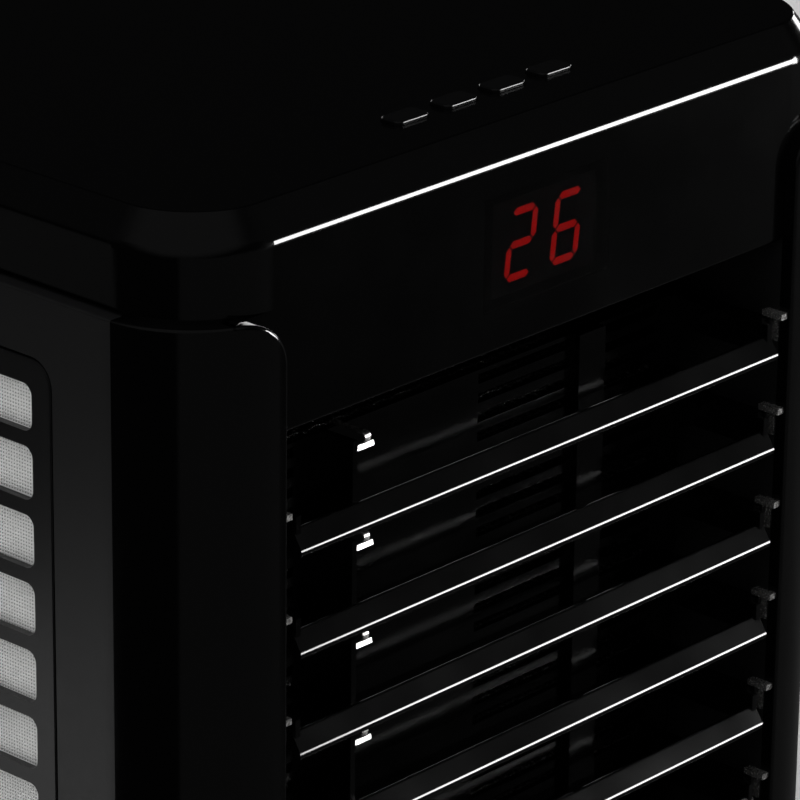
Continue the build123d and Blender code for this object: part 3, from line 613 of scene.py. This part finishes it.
def gloss_plastic(name, color, roughness, wave=2e-5):
    """Moulded gloss plastic: slight waviness, hazy patches and fine dust."""
    s = Surface(name, color, roughness)
    haze = s.noise(22, 3, 0.6)
    s.vary_roughness(roughness * 0.85, roughness * 1.25, haze)
    dust = s.spread(s.cells(900), 0.0, 0.09, 1.0, 0.0)
    thin = s.spread(s.noise(35, 2), 0.5, 0.7, 0.0, 1.0)
    s.vary_color(color, tuple(c + 0.008 for c in color), s.math("MULTIPLY", dust, thin))
    s.bump(s.noise(60, 2), wave)
    s.bump(s.noise(1400, 2), wave * 0.05)
    return s.material


def satin_plastic(name, color, roughness, grain=1500, depth=1.5e-5, specular=0.5):
    """Moulded satin plastic with a spark-eroded grain."""
    s = Surface(name, color, roughness, Specular_IOR_Level=specular)
    patches = s.noise(14, 3, 0.6)
    s.vary_color(tuple(c * 0.85 for c in color), tuple(c * 1.15 for c in color), patches)
    s.vary_roughness(roughness * 0.96, roughness * 1.05, s.noise(240, 3))
    s.bump(s.noise(grain, 3, 0.6), depth)
    return s.material


def metal(name, color, roughness, brushed=None, metallic=1.0):
    """Bare metal; brushed is the stretch of its grain along x, y and z."""
    s = Surface(name, color, roughness, Metallic=metallic)
    place = s.stretched(brushed) if brushed else None
    grain = s.noise(1.0 if brushed else 800, 3, 0.6, place)
    s.vary_roughness(roughness * 0.75, roughness * 1.4, grain)
    s.vary_color(tuple(c * 0.9 for c in color), color, s.noise(60, 3))
    s.bump(grain, 6e-6)
    return s.material


def soft_rubber():
    """Dull black rubber."""
    s = Surface("rubber", (0.012, 0.012, 0.012), 0.8)
    s.vary_color((0.010, 0.010, 0.010), (0.020, 0.0195, 0.019), s.noise(150, 4, 0.7))
    s.vary_roughness(0.7, 0.9, s.noise(300, 3))
    s.bump(s.noise(900, 4, 0.7), 6e-5)
    return s.material


def moulded_nylon():
    """White nylon of the filters' bars."""
    s = Surface("filter_bars", (0.60, 0.60, 0.59), 0.5)
    s.vary_color((0.55, 0.55, 0.54), (0.62, 0.62, 0.61), s.noise(60, 3, 0.6))
    s.vary_roughness(0.42, 0.6, s.noise(300, 2))
    s.bump(s.noise(1800, 2), 1e-5)
    return s.material


def woven_net():
    """Fine white net in the YZ plane: threads both ways, over and under, with painted shade in the gaps
    between them.
    """
    s = Surface("filter_mesh", (0.75, 0.75, 0.74), 0.6)
    split = s.nodes.new("ShaderNodeSeparateXYZ")
    s.links.new(s.place, split.inputs[0])
    ways = [s.math("SINE", s.math("MULTIPLY", split.outputs[axis], pi / NET_PITCH), 0) for axis in ("Y", "Z")]
    over = s.math("MULTIPLY", s.math("MULTIPLY", *ways), 0.2)
    threads = [s.math("ABSOLUTE", way, 0) for way in ways]
    first = s.math("ADD", threads[0], over)
    second = s.math("SUBTRACT", threads[1], over)
    height = s.math("MAXIMUM", first, second)
    # Mask that is 1 on the threads and 0 in the gaps, where the painted shade goes.
    gap_shade_mask = s.spread(height, 0.35, 0.75, 0.0, 1.0)
    soiled = s.spread(s.noise(45, 4, 0.6), 0.35, 0.65, 0.86, 1.0)
    # Painted shade: the gaps are coloured dark grey for the dark seen through the openings, while the soiled
    # noise is real grime on the threads.
    s.vary_color((0.26, 0.26, 0.26), (0.96, 0.96, 0.95), s.math("MULTIPLY", gap_shade_mask, soiled))
    s.vary_roughness(0.5, 0.75, s.noise(800, 2))
    s.bump(height, 2.5e-4)
    return s.material


def lit_segments():
    """Red light pipes, lit a little unevenly."""
    s = Surface("digits_red", (0.01, 0.0002, 0.0002), 0.6)
    s.set("Emission Color", (1.0, 0.008, 0.008, 1))
    glow = s.spread(s.noise(900, 2), 0.3, 0.7, 0.85, 1.1)
    s.links.new(s.math("MULTIPLY", glow, DIGIT_GLOW), s.shader.inputs["Emission Strength"])
    s.bump(s.noise(2500, 2), 1e-5)
    return s.material


def smoked_window():
    """Dark see-through plastic, a little glossier than the cap."""
    s = Surface("smoked_window", (0.30, 0.28, 0.28), 0.06, Transmission_Weight=1.0, IOR=1.5)
    s.vary_roughness(0.05, 0.07, s.noise(22, 3, 0.6))
    s.bump(s.noise(60, 2), 1e-5)
    return s.material


def circuit_board():
    """Green solder mask with faint copper tracks under it."""
    s = Surface("circuit_board", (0.012, 0.09, 0.03), 0.35)
    tracks = s.cells(260, feature="DISTANCE_TO_EDGE")
    s.vary_color((0.02, 0.13, 0.045), (0.010, 0.07, 0.025), s.spread(tracks, 0.03, 0.09, 0.0, 1.0))
    s.bump(tracks, 3e-5)
    return s.material


def mica_board():
    """Flaky silver-brown mica."""
    s = Surface("mica", (0.42, 0.36, 0.26), 0.45)
    s.vary_color((0.30, 0.25, 0.17), (0.52, 0.46, 0.34), s.noise(80, 5, 0.7, s.stretched((1, 6, 1))))
    s.vary_roughness(0.3, 0.6, s.noise(240, 3))
    s.bump(s.noise(180, 5, 0.7), 5e-5)
    return s.material


def heater_wire():
    """Resistance wire, oxidised brown and grey."""
    s = Surface("heater_wire", (0.25, 0.2, 0.17), 0.4, Metallic=1.0)
    s.vary_color((0.16, 0.12, 0.10), (0.36, 0.31, 0.27), s.noise(160, 4))
    s.vary_roughness(0.3, 0.6, s.noise(500, 3))
    s.bump(s.noise(1500, 3), 1e-5)
    return s.material


def flat_ribbon():
    """Grey ribbon cable with its parallel conductors along Y, and painted shade darkening the grooves between
    them.
    """
    s = Surface("ribbon", (0.22, 0.22, 0.23), 0.45)
    split = s.nodes.new("ShaderNodeSeparateXYZ")
    s.links.new(s.place, split.inputs[0])
    wires = s.math("SINE", s.math("MULTIPLY", split.outputs["X"], pi / RIBBON_PITCH), 0)
    wires = s.math("ABSOLUTE", wires, 0)
    # Painted shade: the grooves between the conductors are coloured darker grey, and the same ridges also
    # give the real bump below.
    s.vary_color((0.12, 0.12, 0.13), (0.27, 0.27, 0.28), wires)
    s.bump(wires, 4e-4)
    return s.material


def build_materials():
    """The material of every slot of the record."""
    return {
        "gloss_black": gloss_plastic("gloss_black", (0.0006, 0.0006, 0.00065), 0.10),
        "tray_black": gloss_plastic("tray_black", (0.0006, 0.0006, 0.00065), 0.10),
        "button_black": gloss_plastic("button_black", (0.0016, 0.0016, 0.0017), 0.22),
        "satin_grey": satin_plastic("satin_grey", (0.0072, 0.0072, 0.0074), 0.34),
        "grille_plastic": satin_plastic("grille_plastic", (0.0030, 0.0030, 0.0032), 0.26, 1200, 8e-6),
        "chamber_black": satin_plastic("chamber_black", (0.0060, 0.0060, 0.0062), 0.40),
        "fan_plastic": satin_plastic("fan_plastic", (0.010, 0.010, 0.011), 0.42),
        "housing_black": satin_plastic("housing_black", (0.0020, 0.0020, 0.0020), 0.62, specular=0.08),
        "filter_mesh": woven_net(),
        "rubber": soft_rubber(),
        "steel": metal("steel", (0.62, 0.61, 0.60), 0.24, metallic=0.92),
        "zinc_sheet": metal("zinc_sheet", (0.48, 0.49, 0.50), 0.38, (40, 40, 600), metallic=0.8),
        "motor_paint": satin_plastic("motor_paint", (0.03, 0.032, 0.035), 0.4, 600, 4e-5),
        "mica": mica_board(),
        "heater_wire": heater_wire(),
        "circuit_board": circuit_board(),
        "ribbon": flat_ribbon(),
        "digits_red": lit_segments(),
        "smoked_window": smoked_window(),
    }


def paint_frame(materials):
    """Every CAD node takes the material of its slot."""
    slots = {part["node"]: part["material_slot"] for part in frame["record"]["subparts"]}
    for name, node in frame["nodes"].items():
        node.data.materials.clear()
        node.data.materials.append(materials[slots[name]])


bpy.context.scene.view_settings.view_transform = "Standard"
materials = build_materials()
add_camera()
add_world()
add_lights()
add_stage()
paint_frame(materials)
add_tray_screens(materials["steel"])
add_filters(moulded_nylon(), materials["filter_mesh"])
add_heater_winding(materials["heater_wire"])
